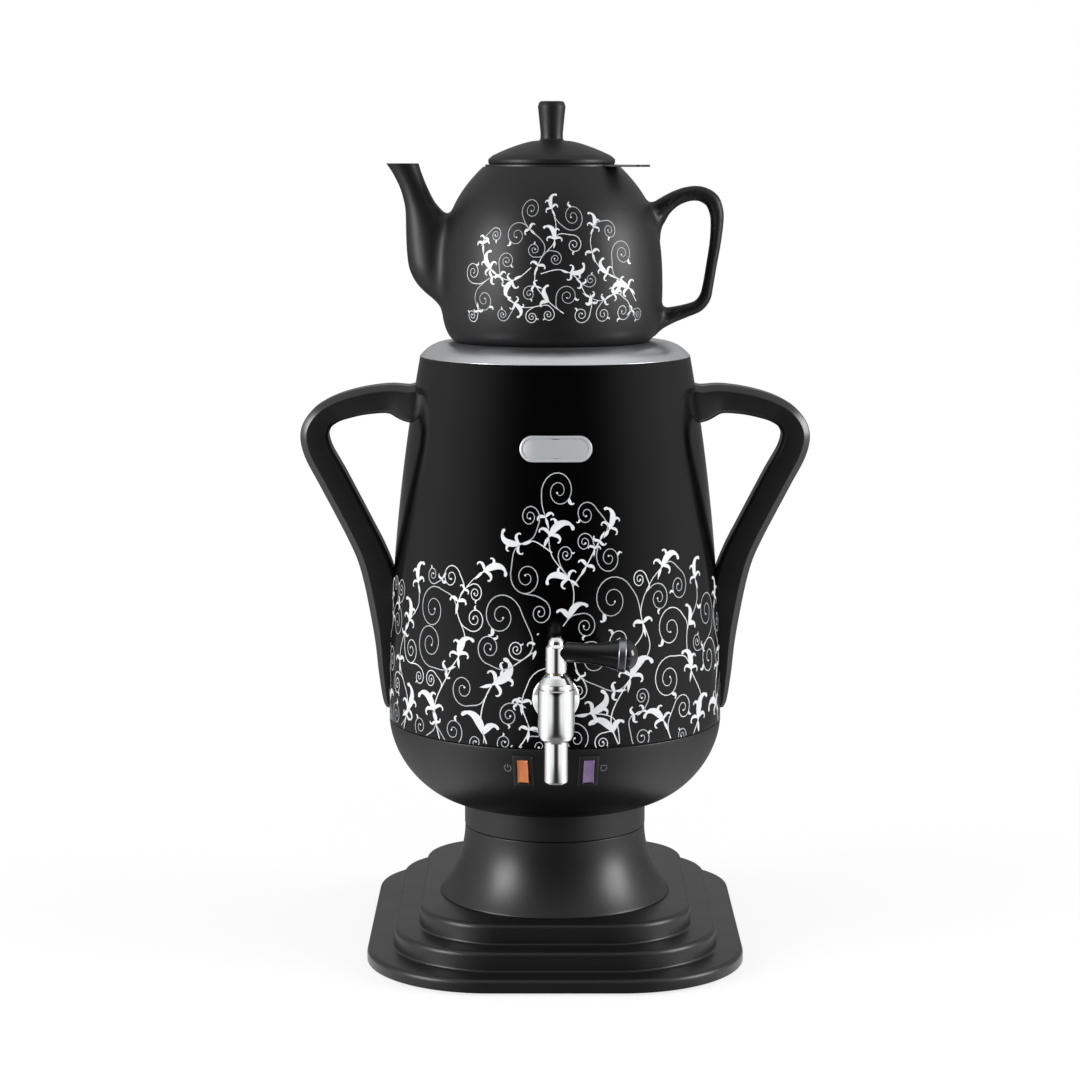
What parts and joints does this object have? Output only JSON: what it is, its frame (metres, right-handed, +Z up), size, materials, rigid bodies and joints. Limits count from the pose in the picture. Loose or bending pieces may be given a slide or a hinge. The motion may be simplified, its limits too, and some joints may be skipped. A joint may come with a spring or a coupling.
{
  "type": "electric samovar",
  "caption": "Electric samovar on a stepped plinth: bowl with two rocker switches, tapering jacket with tank, front tap with side lever, side handles and a teapot on top.",
  "frame": {"origin": "on the axis of the round body, at table level", "axes": "+Z up, +Y to the back (the tap is on the -Y side), +X to the right of a viewer in front"},
  "size_m": [0.2864, 0.2827, 0.48],
  "materials": {
    "black_rubber": "matte",
    "gasket_silicone": "matte",
    "plate_paint": "satin",
    "fixing_steel": "satin",
    "housing_plastic": "satin",
    "jacket_paint": "gloss",
    "badge_steel": "brushed",
    "ring_steel": "brushed",
    "tank_steel": "satin",
    "heater_aluminium": "matte",
    "element_steel": "matte",
    "thermostat_plastic": "satin",
    "fuse_ceramic": "matte",
    "handle_plastic": "satin",
    "tap_chrome": "polished",
    "contact_brass": "satin",
    "lever_plastic": "gloss",
    "lever_steel": "satin",
    "switch_plastic": "satin",
    "orange_lens": "gloss",
    "violet_lens": "gloss",
    "teapot_glaze": "satin",
    "infuser_plastic": "satin",
    "basket_steel": "satin"
  },
  "bodies": {
    "body": {"foot_ring": "black_rubber", "base_plate": "plate_paint", "base_screws": "fixing_steel", "base_plinth": "housing_plastic", "neck_screws": "fixing_steel", "neck_pedestal": "housing_plastic", "bowl_housing": "housing_plastic", "body_jacket": "jacket_paint", "badge_plate": "badge_steel", "top_ring": "ring_steel", "mouth_collar": "ring_steel", "tank_gasket": "gasket_silicone", "tank_shoulder": "tank_steel", "tank_wall": "tank_steel", "tank_floor": "tank_steel", "heater_plate": "heater_aluminium", "heating_element": "element_steel", "boil_thermostat": "thermostat_plastic", "warm_thermostat": "thermostat_plastic", "thermal_fuse": "fuse_ceramic", "clamp_bridge": "fixing_steel", "tie_rod": "fixing_steel", "tie_washer": "fixing_steel", "tie_nuts": "fixing_steel", "left_handle": "handle_plastic", "right_handle": "handle_plastic", "handle_screws": "fixing_steel", "tap_escutcheon": "tap_chrome", "tap_shank": "tap_chrome", "tap_washer_outer": "black_rubber", "tap_washer_inner": "black_rubber", "tap_nut": "fixing_steel", "tap_body": "tap_chrome", "tap_nozzle": "tap_chrome", "tap_bonnet": "tap_chrome", "left_switch_body": "switch_plastic", "right_switch_body": "switch_plastic", "switch_terminals": "contact_brass", "mains_inlet": "switch_plastic", "inlet_pins": "contact_brass", "inlet_screws": "fixing_steel"},
    "tap_turner": {"tap_plug": "contact_brass", "tap_cap": "tap_chrome", "lever_pin": "fixing_steel", "tap_lever": "lever_plastic", "lever_ring": "lever_steel", "lever_end": "lever_plastic"},
    "left_switch": {"left_rocker": "orange_lens"},
    "right_switch": {"right_rocker": "violet_lens"},
    "teapot": {"teapot_floor": "teapot_glaze", "teapot_body": "teapot_glaze", "teapot_shoulder": "teapot_glaze", "teapot_spout": "teapot_glaze", "teapot_handle": "teapot_glaze"},
    "infuser": {"infuser_rim": "infuser_plastic", "infuser_basket": "basket_steel"},
    "lid": {"teapot_lid": "teapot_glaze"}
  },
  "joints": [
    {"name": "tap_turn", "type": "hinge", "parent": "body", "child": "tap_turner", "pos_m": [0, -0.125, 0.19], "axis": [0, 0, 1], "range_deg": [-90, 0]},
    {"name": "left_rock", "type": "hinge", "parent": "body", "child": "left_switch", "pos_m": [-0.0173, -0.08895, 0.12141], "axis": [0.9816, -0.1909, 0], "range_deg": [0, 12]},
    {"name": "right_rock", "type": "hinge", "parent": "body", "child": "right_switch", "pos_m": [0.0173, -0.08895, 0.12141], "axis": [0.9816, 0.1909, 0], "range_deg": [0, 12]},
    {"name": "teapot_lift", "type": "slide", "parent": "body", "child": "teapot", "axis": [0, 0, 1], "range_m": [0, 0.15]},
    {"name": "infuser_lift", "type": "slide", "parent": "teapot", "child": "infuser", "axis": [0, 0, 1], "range_m": [0, 0.09]},
    {"name": "lid_lift", "type": "slide", "parent": "infuser", "child": "lid", "axis": [0, 0, 1], "range_m": [0, 0.05]}
  ]
}
